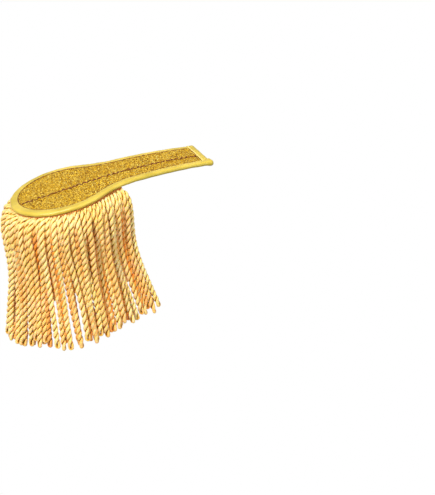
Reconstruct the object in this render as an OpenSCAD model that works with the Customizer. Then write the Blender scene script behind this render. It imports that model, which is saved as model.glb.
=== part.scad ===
// Bullion epaulette: a stiff shoulder board, bent to the slope of a shoulder,
// faced with two lengths of metallic cloth that lap along a seam, bound in
// satin and hung round its shoulder end with a fringe of twisted cords.
// Millimetres. +X runs along the board to the neck, -Y is the wearer's front,
// +Z is up. The origin is on the underside, where the board sits and pins on.

/* [Board] */
// Length of the board, seen from above, over its binding
board_l = 164; // [145:1:190]
// Width of the shoulder end, over its binding
crescent_w = 86; // [78:1:94]
// Width of the strap at the neck end, over its binding
strap_w = 44; // [38:1:50]
// Angle at which each side of the strap leans out towards the shoulder
strap_taper = 3.4; // [1:0.2:5]
// Radius of the hollow curve where the strap runs into the shoulder end
flare_r = 60; // [45:1:75]
// Thickness of the stiff board under the cloth
board_t = 1; // [1:0.1:2.5]

/* [Bend] */
// Slope of the shoulder end below the neck end
droop = 12; // [6:1:18]
// Length of the strap over which the board bends to that slope
bend_l = 105; // [80:1:130]
// Distance from the neck end to where the board sits on the shoulder
seat_from_neck = 50; // [40:1:65]

/* [Facing] */
// Thickness of the front length of metallic cloth
facing_t = 1; // [1:0.1:1.4]
// How far the rear length stands above the front one where it laps over it
lap_t = 0.3; // [0.2:0.1:0.8]
// Distance of the lap in front of the middle of the board
seam_offset = 4; // [0:0.5:8]

/* [Binding] */
// Width of the satin binding along the sides and round the shoulder end
bind_w = 6.2; // [5:0.1:8]
// Width of the satin binding across the neck end
end_bind_w = 6.8; // [5:0.1:9]
// Thickness of the padded binding above the board
bind_pad_t = 1.5; // [1:0.1:2]
// Thickness of the binding below the board
bind_t = 1; // [0.8:0.1:1.4]
// Depth of the binding outside the edge of the board
bind_roll = 1.6; // [1.2:0.1:2.4]
// How far the side binding runs on past the neck end at the front corner
bind_over = 2; // [1:0.2:4]

/* [Fringe] */
// Length of a cord below its heading
fringe_l = 112; // [80:1:140]
// Diameter of a cord across its hollows
cord_d = 4.4; // [3.6:0.1:4.6]
// Cords in each of the six lengths of fringe
cords_per_section = 9; // [6:1:9]
// Distance from the flare's end to the first and last cord, along the edge
fringe_start = 12; // [0:0.5:16]
// Distance that the cords swell out past the edge of the board
fringe_swell = 5.5; // [1:0.5:8]
// Distance that every other cord stands out, and the rest in, from that
fringe_stagger = 1; // [0:0.1:1.5]
// Distance that the lower ends splay outwards below the tip of the board
fringe_splay = 10; // [0:0.5:14]
// Distance that the lower ends lean to the neck at the two ends of the fringe
fringe_lean = 26; // [0:1:40]
// Angle by which the first and last cord turn out towards the neck
fringe_turn_angle = 40; // [0:5:60]
// Width of the woven heading that holds the cords
heading_w = 5; // [4:0.5:7]
// Thickness of the heading
heading_t = 1.4; // [1:0.1:2]
// Distance of the heading inside the edge of the board
heading_inset = 1; // [0.5:0.1:3]

/* [Pin] */
// Length of the bar pin across the strap
pin_l = 24; // [20:1:34]
// Width of the bar pin's plate
pin_w = 6; // [4:0.5:8]
// Thickness of the bar pin's plate and ears
pin_t = 0.8; // [0.6:0.1:1.2]
// Diameter of the pin wire
pin_wire_d = 1.2; // [0.8:0.1:1.6]
// Height of the pin wire's axis below the plate
pin_drop = 2.5; // [2:0.5:5]

/* [Hidden] */
$fn = 96;

// Clearance between two pieces that lie on each other
gap = 0.1;
// Clearance above the soft heading
seat_gap = 0.3;
// Facets of the long bend, which is a true arc in the exact solids
bend_fn = 1440;
// Spacing of the sections along a swept edge, and of the points along a cut edge
sweep_step = 4;
plan_step = 2;
// Share of the binding's width that its rounded edge leaves flat
lip_flat = 0.3;
// Angle between the facets of the rounded edge
lip_facet_angle = 30;
// Length by which the binding reaches less far in under the board than over it
lip_short = 0.2;
// Length by which two parts of one piece run into each other
bite = 0.5;

SECTIONS = 6;
cord_r = cord_d / 2;

// Columns: share of the cord's length, share of its throw outwards, share of its
// full radius, which is less where the cords crowd in the heading
CORD_DROP = 0;
CORD_THROW = 1;
CORD_GIRTH = 2;
CORD_SHAPE = [
    [0.00, 0.00, 0.80],
    [0.01, 0.36, 0.80],
    [0.03, 0.68, 0.90],
    [0.07, 0.92, 1.00],
    [0.13, 1.00, 1.00],
    [0.20, 0.94, 1.00],
    [0.29, 0.76, 1.00],
    [0.40, 0.54, 1.00],
    [0.52, 0.40, 1.00],
    [0.76, 0.38, 1.00],
    [0.99, 0.38, 1.00],
    [1.00, 0.38, 0.55],
];
CORD_SIDES = 6;
// Share of the fringe at each of its ends over which the cords turn out
TURN_SHARE = 0.16;
// How the lean grows along the fringe, and the lean and splay down a cord
LEAN_ALONG = 1.5;
LEAN_DOWN = 1.4;
SPLAY_DOWN = 1.6;

// Places along the board
neck_x = seat_from_neck;
tip_x = neck_x - board_l;
crescent_r = crescent_w / 2;
crescent_x = tip_x + crescent_r;
bend_r = bend_l / sin(droop);
bend_x = neck_x - bend_l;

// Side profile of the board's underside: height and slope at x
neck_z = bend_r - sqrt(bend_r * bend_r - neck_x * neck_x);
function arc_z(x) = neck_z - bend_r + sqrt(bend_r * bend_r - pow(neck_x - x, 2));
function under_z(x) =
    x > bend_x ? arc_z(x) : arc_z(bend_x) - (bend_x - x) * tan(droop);
function slope(x) = x > bend_x ? asin((neck_x - x) / bend_r) : droop;
// Point over a place in plan, at a height square to the underside
function on_board(p, n) = [p[0], p[1], under_z(p[0]) + n / cos(slope(p[0]))];

// Plan of the board: strap side, hollow flare and round shoulder end, at y > 0
side_dir = [-cos(strap_taper), sin(strap_taper)];
side_out = [sin(strap_taper), cos(strap_taper)];
side_end = [neck_x, strap_w / 2];
crescent_c = [crescent_x, 0];
flare_from = side_end + side_out * flare_r - crescent_c;
flare_along = -flare_from * side_dir
    - sqrt(pow(flare_from * side_dir, 2) - flare_from * flare_from
           + pow(crescent_r + flare_r, 2));
flare_c = side_end + side_out * flare_r + side_dir * flare_along;
flare_dir = (flare_c - crescent_c) / (crescent_r + flare_r);
flare_angle = atan2(flare_dir[1], flare_dir[0]);
// Angles round the flare's centre, from the strap to the shoulder end
flare_from_a = 270 - strap_taper;
flare_to_a = 180 + flare_angle;

// Heights of the layers above the board's underside
facing_n = board_t + gap;
front_n = facing_n + facing_t;
rear_n = front_n + lap_t;
slot_top_n = board_t + gap;
slot_low_n = -gap;
bind_top_n = slot_top_n + bind_pad_t;
bind_low_n = slot_low_n - bind_t;
heading_top_n = bind_low_n - seat_gap;

function arc_points(c, r, a0, a1, step) =
    let (steps = max(2, ceil(abs(a1 - a0) * PI / 180 * r / step)))
    [for (i = [0 : steps]) let (a = a0 + (a1 - a0) * i / steps)
        [c[0] + r * cos(a), c[1] + r * sin(a)]];

// One side of the outline, from x at the neck end to the tip.
// Each row is a point and the outward direction there.
function side_rows(from_x, step) =
    let (run = (from_x - neck_x) / side_dir[0],
         steps = ceil((flare_along - run) / step / 2))
    concat(
        [for (i = [0 : steps - 1])
            [side_end + side_dir * (run + (flare_along - run) * i / steps), side_out]],
        [for (p = arc_points(flare_c, flare_r, flare_from_a, flare_to_a, step))
            [p, (flare_c - p) / flare_r]],
        [for (p = tail(arc_points(crescent_c, crescent_r, flare_angle, 180, step), 1))
            [p, (p - crescent_c) / crescent_r]]);

function flipped(rows) =
    [for (i = [len(rows) - 1 : -1 : 0])
        [[rows[i][0][0], -rows[i][0][1]], [rows[i][1][0], -rows[i][1][1]]]];

function tail(list, from) = [for (i = [from : len(list) - 1]) list[i]];

// Solid with rings of points for sections, all with the same count of points
module loft(rings) {
    k = len(rings[0]);
    last = len(rings) - 1;
    sides = [for (i = [0 : last - 1], j = [0 : k - 1]) let (m = (j + 1) % k)
        each [[i * k + j, i * k + m, (i + 1) * k + m],
              [i * k + j, (i + 1) * k + m, (i + 1) * k + j]]];
    polyhedron(
        points = [for (ring = rings) each ring],
        faces = concat(
            [[for (j = [k - 1 : -1 : 0]) j]],
            sides,
            [[for (j = [0 : k - 1]) last * k + j]]),
        convexity = 10);
}

// Plan of the board, cut back all round and at the neck end
module plan(inset, end_inset) {
    rows = side_rows(neck_x - end_inset, plan_step);
    polygon([for (row = concat(rows, tail(flipped(rows), 1))) row[0] - inset * row[1]]);
}

// Side view of a layer of the board between two heights above the underside
module layer_side(low, high) {
    reach = board_l;
    translate([neck_x, neck_z - bend_r]) intersection() {
        difference() {
            circle(bend_r + high, $fn = bend_fn);
            circle(bend_r + low, $fn = bend_fn);
        }
        polygon([[0, 0], [reach, 2 * bend_r], [0, 2 * bend_r],
                 [-2 * bend_r * tan(droop), 2 * bend_r]]);
    }
    translate([bend_x, arc_z(bend_x)]) rotate(droop)
        translate([-reach, low]) square([reach + bite, high - low]);
}

module layer(low, high) {
    intersection() {
        translate([0, crescent_w, 0]) rotate([90, 0, 0])
            linear_extrude(2 * crescent_w) layer_side(low, high);
        translate([0, 0, -2 * board_l]) linear_extrude(4 * board_l) children();
    }
}

module board() {
    color("khaki") layer(0, board_t) plan(bind_roll + gap, bind_roll + gap);
}

// Strip of the facing on one side of the lap, with its top at a height
module facing(high, low_y, high_y) {
    color("goldenrod") layer(facing_n, high) intersection() {
        plan(bind_w + gap, end_bind_w + gap);
        translate([tip_x, low_y]) square([board_l, high_y - low_y]);
    }
}

module facing_front() {
    facing(front_n, -crescent_w, -seam_offset - gap);
}

module facing_rear() {
    facing(rear_n, -seam_offset, crescent_w);
}

// Section of the binding, folded round the edge: outward distance from the
// edge of the board and height above the underside, anticlockwise
function bind_section(width) =
    let (mid = (bind_top_n + bind_low_n) / 2,
         half = (bind_top_n - bind_low_n) / 2,
         deep = width * (1 - lip_flat) / 2)
    concat(
        [[-width + lip_short, slot_low_n], [-width + lip_short, bind_low_n + gap]],
        [for (a = [-90 : lip_facet_angle : 90]) [-deep + deep * cos(a), mid + half * sin(a)]],
        [[-width, bind_top_n - gap], [-width, slot_top_n],
         [-bind_roll, slot_top_n], [-bind_roll, slot_low_n]]);

module edge_binding() {
    rear = side_rows(neck_x - end_bind_w - gap, sweep_step);
    front = flipped(side_rows(neck_x + bind_over, sweep_step));
    path = concat(rear, tail(front, 1));
    section = bind_section(bind_w);
    color("gold") loft([for (row = path)
        [for (q = section) on_board(row[0] + q[0] * row[1], q[1])]]);
}

module end_binding() {
    inner = strap_w / 2 - (bind_w + gap) / cos(strap_taper);
    long = end_bind_w + bind_over;
    color("gold") intersection() {
        translate([neck_x, strap_w, neck_z]) rotate([90, 0, 0])
            linear_extrude(2 * strap_w) polygon(bind_section(end_bind_w));
        translate([0, 0, -board_l]) linear_extrude(2 * board_l)
            polygon([[neck_x + bind_over, -inner + bind_over * tan(strap_taper)],
                     [neck_x - long, -inner - long * tan(strap_taper)],
                     [neck_x - long, strap_w / 2 + long * tan(strap_taper)],
                     [neck_x + bind_over, strap_w / 2]]);
    }
}

// Line that the cords hang from, from the rear end of the fringe to the front
hang_inset = heading_inset + heading_w / 2;
hang_flare_r = flare_r + hang_inset;
hang_crescent_r = crescent_r - hang_inset;
hang_flare_l = (flare_from_a - flare_to_a) * PI / 180 * hang_flare_r - fringe_start;
hang_crescent_l = (180 - flare_angle) * PI / 180 * hang_crescent_r;
hang_side_l = hang_flare_l + hang_crescent_l;

// Row for a distance along that line, at an inset from the edge of the board
function hang_row(along, inset) =
    along > hang_side_l
    ? let (r = hang_row(2 * hang_side_l - along, inset))
        [[r[0][0], -r[0][1]], [r[1][0], -r[1][1]]]
    : along < hang_flare_l
    ? let (a = flare_to_a + (hang_flare_l - along) / hang_flare_r * 180 / PI,
           out = [-cos(a), -sin(a)])
        [flare_c - out * (flare_r + inset), out]
    : let (a = flare_angle + (along - hang_flare_l) / hang_crescent_r * 180 / PI,
           out = [cos(a), sin(a)])
        [crescent_c + out * (crescent_r - inset), out];

cords = SECTIONS * cords_per_section;
cord_pitch = 2 * hang_side_l / cords;

function turned(v, a) = [v[0] * cos(a) - v[1] * sin(a), v[0] * sin(a) + v[1] * cos(a)];

// Points down the middle of the cord with a number along the whole fringe
function cord_place(i) = (i + 0.5) * cord_pitch;
function cord_line(i) =
    let (row = hang_row(cord_place(i), hang_inset),
         share = abs(cord_place(i) / hang_side_l - 1),
         turn = fringe_turn_angle * max(0, 1 - (1 - share) / TURN_SHARE),
         out = turned(row[1], row[0][1] > 0 ? -turn : turn),
         lean = fringe_lean * pow(share, LEAN_ALONG),
         splay = fringe_splay * (1 - share),
         throw = hang_inset + fringe_swell + (i % 2 == 0 ? 1 : -1) * fringe_stagger,
         fall = sqrt(fringe_l * fringe_l - lean * lean - splay * splay),
         top = under_z(row[0][0]) + heading_top_n - heading_t + bite
               - cord_r * CORD_SHAPE[0][CORD_GIRTH])
    [for (q = CORD_SHAPE)
        let (away = throw * q[CORD_THROW] + splay * pow(q[CORD_DROP], SPLAY_DOWN))
        [row[0][0] + out[0] * away + lean * pow(q[CORD_DROP], LEAN_DOWN),
         row[0][1] + out[1] * away,
         top - fall * q[CORD_DROP]]];

// Ring of points square to a line at its point i; across is never along it
function ring_at(line, i, r, across) =
    let (t = line[min(i + 1, len(line) - 1)] - line[max(i - 1, 0)],
         w = t / norm(t),
         v0 = cross(w, across),
         v = v0 / norm(v0),
         u = cross(v, w))
    [for (k = [0 : CORD_SIDES - 1]) let (a = 360 * k / CORD_SIDES)
        line[i] + r * (cos(a) * u - sin(a) * v)];

module cord(i) {
    line = cord_line(i);
    out = hang_row(cord_place(i), hang_inset)[1];
    loft([for (k = [0 : len(line) - 1])
        ring_at(line, k, cord_r * CORD_SHAPE[k][CORD_GIRTH], [-out[1], out[0], 0])]);
}

module fringe(section) {
    first = section * cords_per_section;
    from = first * cord_pitch;
    long = cords_per_section * cord_pitch;
    steps = ceil(long / sweep_step);
    color("moccasin") union() {
        loft([for (i = [0 : steps]) let (along = from + gap + (long - 2 * gap) * i / steps)
            [for (q = [[heading_inset, -heading_t], [heading_inset, 0],
                       [heading_inset + heading_w, 0],
                       [heading_inset + heading_w, -heading_t]])
                on_board(hang_row(along, q[0])[0], heading_top_n + q[1])]]);
        for (i = [first : first + cords_per_section - 1]) cord(i);
    }
}

module bar_pin() {
    ear = pin_drop + pin_wire_d;
    color("silver") rotate([0, -slope(0), 0]) translate([0, 0, -gap]) union() {
        translate([-pin_w / 2, -pin_l / 2, -pin_t]) cube([pin_w, pin_l, pin_t]);
        for (s = [-1, 1])
            translate([-pin_wire_d, s * (pin_l - pin_t) / 2 - pin_t / 2, -pin_t - ear])
                cube([2 * pin_wire_d, pin_t, ear + pin_t / 2]);
        translate([0, -pin_l / 2 + pin_t / 2, -pin_t - pin_drop]) rotate([-90, 0, 0])
            cylinder(d = pin_wire_d, h = pin_l - pin_t);
    }
}

board();
facing_front();
facing_rear();
edge_binding();
end_binding();
fringe(0);  // fringe_1
fringe(1);  // fringe_2
fringe(2);  // fringe_3
fringe(3);  // fringe_4
fringe(4);  // fringe_5
fringe(5);  // fringe_6
bar_pin();
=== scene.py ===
import math
import bpy
import numpy as np
from mathutils import Matrix, Vector


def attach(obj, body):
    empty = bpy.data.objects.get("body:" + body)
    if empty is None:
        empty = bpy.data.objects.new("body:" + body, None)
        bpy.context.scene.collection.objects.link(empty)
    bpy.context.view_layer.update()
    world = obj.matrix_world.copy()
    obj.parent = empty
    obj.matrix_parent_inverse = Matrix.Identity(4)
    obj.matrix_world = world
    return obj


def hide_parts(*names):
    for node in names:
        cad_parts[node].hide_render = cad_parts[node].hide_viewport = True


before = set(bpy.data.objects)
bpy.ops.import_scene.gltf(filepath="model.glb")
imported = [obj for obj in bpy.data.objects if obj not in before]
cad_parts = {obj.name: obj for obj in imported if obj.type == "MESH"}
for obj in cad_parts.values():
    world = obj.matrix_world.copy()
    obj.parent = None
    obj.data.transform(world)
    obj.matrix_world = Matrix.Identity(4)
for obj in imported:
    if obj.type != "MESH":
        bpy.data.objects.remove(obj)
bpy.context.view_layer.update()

# All sizes are in millimetres, as in the part's source; objects are made in metres
MM = 0.001

# Camera, fitted to the outline in the photograph: its axes, its place and its lens
CAM_RIGHT = (0.9323, -0.3616, 0.0)
CAM_UP = (0.1459, 0.3762, 0.9150)
CAM_FORWARD = (0.3309, 0.8531, -0.4035)
CAM_PLACE = (-282.7, -891.4, 338.1)
CAM_LENS = 87.27
CAM_SENSOR = 36.0
# Nearest and farthest distance that the camera sees, in metres
CAM_NEAR = 0.05
CAM_FAR = 20.0


def new_object(name, data):
    """An object in the scene with its mesh, light or camera."""
    item = bpy.data.objects.new(name, data)
    bpy.context.scene.collection.objects.link(item)
    return item


def make_camera():
    data = bpy.data.cameras.new("camera")
    data.lens = CAM_LENS
    data.sensor_width = CAM_SENSOR
    data.clip_start = CAM_NEAR
    data.clip_end = CAM_FAR
    camera = new_object("camera", data)
    axes = Matrix((CAM_RIGHT, CAM_UP, tuple(-Vector(CAM_FORWARD)))).transposed()
    camera.matrix_world = Matrix.Translation(Vector(CAM_PLACE) * MM) @ axes.to_4x4()
    bpy.context.scene.camera = camera


make_camera()

# Sizes of the part's source, by the names they have there
board_l = 164.0
crescent_w = 86.0
strap_w = 44.0
strap_taper = math.radians(3.4)
flare_r = 60.0
board_t = 1.0
droop = math.radians(12.0)
bend_l = 105.0
seat_from_neck = 50.0
facing_t = 1.0
lap_t = 0.3
seam_offset = 4.0
bind_w = 6.2
end_bind_w = 6.8
bind_pad_t = 1.5
bind_t = 1.0
bind_roll = 1.6
bind_over = 2.0
fringe_l = 112.0
cord_d = 4.4
cords_per_section = 9
SECTIONS = 6
fringe_start = 12.0
fringe_swell = 5.5
fringe_stagger = 1.0
fringe_splay = 10.0
fringe_lean = 26.0
fringe_turn_angle = 40.0
heading_w = 5.0
heading_t = 1.4
heading_inset = 1.0
gap = 0.1
seat_gap = 0.3
bite = 0.5

# Shape of a cord: share of its length and share of its throw outwards
CORD_SHAPE = np.array([
    [0.00, 0.00], [0.01, 0.36], [0.03, 0.68], [0.07, 0.92], [0.13, 1.00], [0.20, 0.94],
    [0.29, 0.76], [0.40, 0.54], [0.52, 0.40], [0.76, 0.38], [0.99, 0.38], [1.00, 0.38]])
# Share of its full radius that a cord has at the heading
TOP_GIRTH = 0.8
# Share of the fringe at each of its ends over which the cords turn out
TURN_SHARE = 0.16
# How the lean grows along the fringe, and the lean and splay down a cord
LEAN_ALONG = 1.5
LEAN_DOWN = 1.4
SPLAY_DOWN = 1.6

# Places along the board
neck_x = seat_from_neck
tip_x = neck_x - board_l
crescent_r = crescent_w / 2
crescent_x = tip_x + crescent_r
bend_r = bend_l / math.sin(droop)
bend_x = neck_x - bend_l
neck_z = bend_r - math.sqrt(bend_r ** 2 - neck_x ** 2)

# Heights square to the board's underside, which n stands for
facing_n = board_t + gap
front_n = facing_n + facing_t
rear_n = front_n + lap_t
slot_top_n = board_t + gap
slot_low_n = -gap
bind_top_n = slot_top_n + bind_pad_t
bind_low_n = slot_low_n - bind_t
bind_mid_n = (bind_top_n + bind_low_n) / 2
heading_top_n = bind_low_n - seat_gap


def under_z(x):
    """Height of the board's underside at x."""
    x = np.asarray(x, float)
    arc = neck_z - bend_r + np.sqrt(bend_r ** 2 - (neck_x - np.maximum(x, bend_x)) ** 2)
    return arc - np.maximum(bend_x - x, 0) * math.tan(droop)


def slope(x):
    """Slope of the board at x, in radians."""
    x = np.asarray(x, float)
    return np.where(x > bend_x, np.arcsin(np.clip((neck_x - x) / bend_r, -1, 1)), droop)


def on_board(x, y, n):
    """Points over a place in plan, at a height square to the underside."""
    return np.stack(np.broadcast_arrays(x, y, under_z(x) + n / np.cos(slope(x))), axis=-1)


# Plan of the board: strap side, hollow flare and round shoulder end, at y > 0
side_dir = np.array([-math.cos(strap_taper), math.sin(strap_taper)])
side_out = np.array([math.sin(strap_taper), math.cos(strap_taper)])
side_end = np.array([neck_x, strap_w / 2])
crescent_c = np.array([crescent_x, 0.0])
flare_from = side_end + side_out * flare_r - crescent_c
flare_back = flare_from @ side_dir
flare_along = -flare_back - math.sqrt(
    flare_back ** 2 - flare_from @ flare_from + (crescent_r + flare_r) ** 2)
flare_c = side_end + side_out * flare_r + side_dir * flare_along
flare_dir = (flare_c - crescent_c) / (crescent_r + flare_r)
flare_angle = math.atan2(flare_dir[1], flare_dir[0])
# Angles round the flare's centre, from the strap to the shoulder end
flare_from_a = 1.5 * math.pi - strap_taper
flare_to_a = math.pi + flare_angle
# Lengths along the edge, from the tip: round the shoulder end, along the flare, to the neck end
crescent_l = (math.pi - flare_angle) * crescent_r
flare_l = (flare_from_a - flare_to_a) * flare_r
side_l = crescent_l + flare_l + flare_along


def edge_at(d):
    """Points and outward directions on the board's edge, at distances from its tip, rear side negative."""
    d = np.asarray(d, float)
    m = np.abs(d)
    a = math.pi - m / crescent_r
    crescent_out = np.stack([np.cos(a), np.sin(a)], -1)
    a = flare_to_a + (m - crescent_l) / flare_r
    flare_out = -np.stack([np.cos(a), np.sin(a)], -1)
    strap_p = side_end + side_dir * (flare_along - (m - crescent_l - flare_l))[..., None]
    on_flare = (m > crescent_l)[..., None]
    on_strap = (m > crescent_l + flare_l)[..., None]
    p = np.where(on_flare, flare_c - flare_out * flare_r, crescent_c + crescent_out * crescent_r)
    p = np.where(on_strap, strap_p, p)
    out = np.where(on_strap, side_out, np.where(on_flare, flare_out, crescent_out))
    side = np.where(d > 0, -1.0, 1.0)
    mirror = np.stack([np.ones_like(side), side], -1)
    return p * mirror, out * mirror


# Mesh helpers
THREAD_SIDES = 6
# Sine waves that a wobble adds up, and the factor that brings their mean to about -1 to 1
WOBBLE_WAVES = 5
WOBBLE_GAIN = 1.6


def new_mesh(name, verts, faces, uv=None, attributes=None):
    """Smooth object from points in millimetres and faces, with a map and values for the points."""
    mesh = bpy.data.meshes.new(name)
    mesh.from_pydata((np.asarray(verts) * MM).tolist(), [], faces, shade_flat=False)
    mesh.validate()
    if uv is not None:
        layer = mesh.uv_layers.new(name="strand")
        corners = np.empty(len(mesh.loops), np.int32)
        mesh.loops.foreach_get("vertex_index", corners)
        layer.data.foreach_set("uv", np.asarray(uv, np.float32)[corners].ravel())
    for key, values in (attributes or {}).items():
        attribute = mesh.attributes.new(key, "FLOAT", "POINT")
        attribute.data.foreach_set("value", np.asarray(values, np.float32))
    return new_object(name, mesh)


def loft(rings):
    """Vertices and quads of rings, an array (stations, points, 3), open at both ends."""
    stations, k, _ = rings.shape
    index = np.arange(stations * k).reshape(stations, k)
    a, b = index[:-1], index[1:]
    quads = np.stack([a, np.roll(a, -1, 1), np.roll(b, -1, 1), b], -1).reshape(-1, 4)
    return rings.reshape(-1, 3), quads


def flip_if_inside_out(verts, quads):
    """The quads, turned over if the volume that they enclose comes out negative."""
    a, b, c, d = (verts[quads[:, k]] for k in range(4))
    volume = np.einsum("ij,ij->i", a, np.cross(b, c)).sum() + np.einsum("ij,ij->i", a, np.cross(c, d)).sum()
    return quads[:, ::-1] if volume < 0 else quads


def tube_mesh(rings):
    """Vertices and outward quads of rings of an even number of points, with both ends closed."""
    verts, quads = loft(rings)
    k = rings.shape[1]
    j = np.arange(k // 2 - 1)
    cap = np.stack([j, j + 1, k - 2 - j, k - 1 - j], -1)
    quads = np.concatenate([quads, cap[:, ::-1], cap + len(verts) - k])
    return verts, flip_if_inside_out(verts, quads)


def closed_loft(rings):
    """Vertices and outward faces of rings of any number of points, with one face over each end."""
    verts, quads = loft(rings)
    k = rings.shape[1]
    faces = [*quads.tolist(), range(k - 1, -1, -1), range(len(verts) - k, len(verts))]
    if flip_if_inside_out(verts, quads) is not quads:
        faces = [face[::-1] for face in faces]
    return verts, faces


def grid_faces(rows, columns):
    """Quads of a grid of points."""
    index = np.arange(rows * columns).reshape(rows, columns)
    return np.stack([index[:-1, :-1], index[:-1, 1:], index[1:, 1:], index[1:, :-1]], -1).reshape(-1, 4)


def join(parts):
    """Joins tuples of vertices, quads and a dict of values per vertex into one such tuple."""
    starts = np.cumsum([0] + [len(verts) for verts, _, _ in parts])
    verts = np.concatenate([part[0] for part in parts])
    quads = np.concatenate([part[1] + start for part, start in zip(parts, starts)])
    values = {key: np.concatenate([part[2][key] for part in parts]) for key in parts[0][2]}
    return verts, quads, values


def wobble(x, seed, lowest, highest):
    """Smooth repeatable noise in about -1 to 1 along x, of waves between two rates."""
    draw = np.random.default_rng(seed)
    rate = draw.uniform(lowest, highest, WOBBLE_WAVES)
    start = draw.uniform(0, 2 * math.pi, WOBBLE_WAVES)
    waves = sum(np.sin(np.asarray(x) * rate[i] + start[i]) for i in range(WOBBLE_WAVES))
    return waves / WOBBLE_WAVES * WOBBLE_GAIN


def bell(x, middle, reach):
    """Smooth hump of height 1."""
    return np.exp(-((x - middle) / reach) ** 2)


def unit(v):
    """Vectors brought to length 1."""
    return v / np.linalg.norm(v, axis=-1, keepdims=True)


def tangents(path):
    """Directions along a path at its points."""
    return unit(np.gradient(path, axis=0))


def thread(path, radius):
    """Tube along a path that is nowhere upright, with a radius for all or each point, to be joined."""
    t = tangents(path)
    u = unit(np.cross((0.0, 0.0, 1.0), t))
    v = np.cross(t, u)
    a = np.arange(THREAD_SIDES) * 2 * math.pi / THREAD_SIDES
    r = np.broadcast_to(np.asarray(radius, float), (len(path),))[:, None, None]
    ring = np.cos(a)[None, :, None] * u[:, None] + np.sin(a)[None, :, None] * v[:, None]
    return (*tube_mesh(path[:, None] + r * ring), {})


def strand_uv(across, along):
    """Map with millimetres or turns across in U, and millimetres along in V."""
    return np.stack(np.broadcast_arrays(across, along[:, None]), -1).reshape(-1, 2)


def path_lengths(points):
    """Length along a path at each of its points."""
    return np.concatenate([[0], np.cumsum(np.linalg.norm(np.diff(points, axis=0), axis=1))])


# Materials
def srgb(r, g, b):
    """Linear colour with alpha, from screen values of 0 to 255."""
    def linear(c):
        c /= 255.0
        return c / 12.92 if c <= 0.04045 else ((c + 0.055) / 1.055) ** 2.4
    return (linear(r), linear(g), linear(b), 1.0)


def grey(value):
    return (value, value, value, 1.0)


class Nodes:
    """A material and its node tree."""

    def __init__(self, name):
        self.mat = bpy.data.materials.new(name)
        self.mat.use_nodes = True
        self.tree = self.mat.node_tree
        self.bsdf = self.tree.nodes["Principled BSDF"]

    def add(self, kind, **inputs):
        node = self.tree.nodes.new(kind)
        for key, value in inputs.items():
            node.inputs[key].default_value = value
        return node

    def link(self, a, b):
        self.tree.links.new(a, b)

    def feed(self, socket, value):
        """Links a socket to an output, or sets it to a constant."""
        if hasattr(value, "is_output"):
            self.link(value, socket)
        else:
            socket.default_value = value

    def set(self, **values):
        for key, value in values.items():
            self.bsdf.inputs[key.replace("_", " ")].default_value = value

    def mix(self, share, a, b, mode="MIX"):
        node = self.add("ShaderNodeMix")
        node.data_type = "RGBA"
        node.blend_type = mode
        self.feed(node.inputs[0], share)
        self.feed(node.inputs[6], a)
        self.feed(node.inputs[7], b)
        return node.outputs[2]

    def ramp(self, share, *stops):
        """Colours at places from 0 to 1."""
        node = self.add("ShaderNodeValToRGB")
        elements = node.color_ramp.elements
        while len(elements) < len(stops):
            elements.new(0.5)
        for element, (place, colour) in zip(elements, stops):
            element.position = place
            element.color = colour
        self.link(share, node.inputs[0])
        return node.outputs[0]

    def math(self, op, a, b=0.0):
        node = self.add("ShaderNodeMath")
        node.operation = op
        self.feed(node.inputs[0], a)
        self.feed(node.inputs[1], b)
        return node.outputs[0]

    def coords(self, scale=(1, 1, 1)):
        """Object coordinates, stretched."""
        node = self.add("ShaderNodeMapping", Scale=scale)
        self.link(self.add("ShaderNodeTexCoord").outputs["Object"], node.inputs["Vector"])
        return node.outputs[0]

    def noise(self, scale, detail, stretch=(1, 1, 1)):
        """Cloudy noise, of about scale clouds a metre."""
        node = self.add("ShaderNodeTexNoise", Scale=scale, Detail=detail)
        self.link(self.coords(stretch), node.inputs["Vector"])
        return node.outputs["Fac"]

    def strand(self):
        """The two coordinates of the map along a cord or a binding."""
        uv = self.add("ShaderNodeUVMap")
        uv.uv_map = "strand"
        node = self.add("ShaderNodeSeparateXYZ")
        self.link(uv.outputs[0], node.inputs[0])
        return node.outputs[0], node.outputs[1]

    def attribute(self, name):
        node = self.add("ShaderNodeAttribute")
        node.attribute_name = name
        return node.outputs["Fac"]

    def colour(self, value):
        self.link(value, self.bsdf.inputs["Base Color"])

    def bump(self, height, strength, distance):
        """Relief from a height, with its distance in metres."""
        node = self.add("ShaderNodeBump", Strength=strength, Distance=distance)
        self.link(height, node.inputs["Height"])
        self.link(node.outputs[0], self.bsdf.inputs["Normal"])


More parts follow.
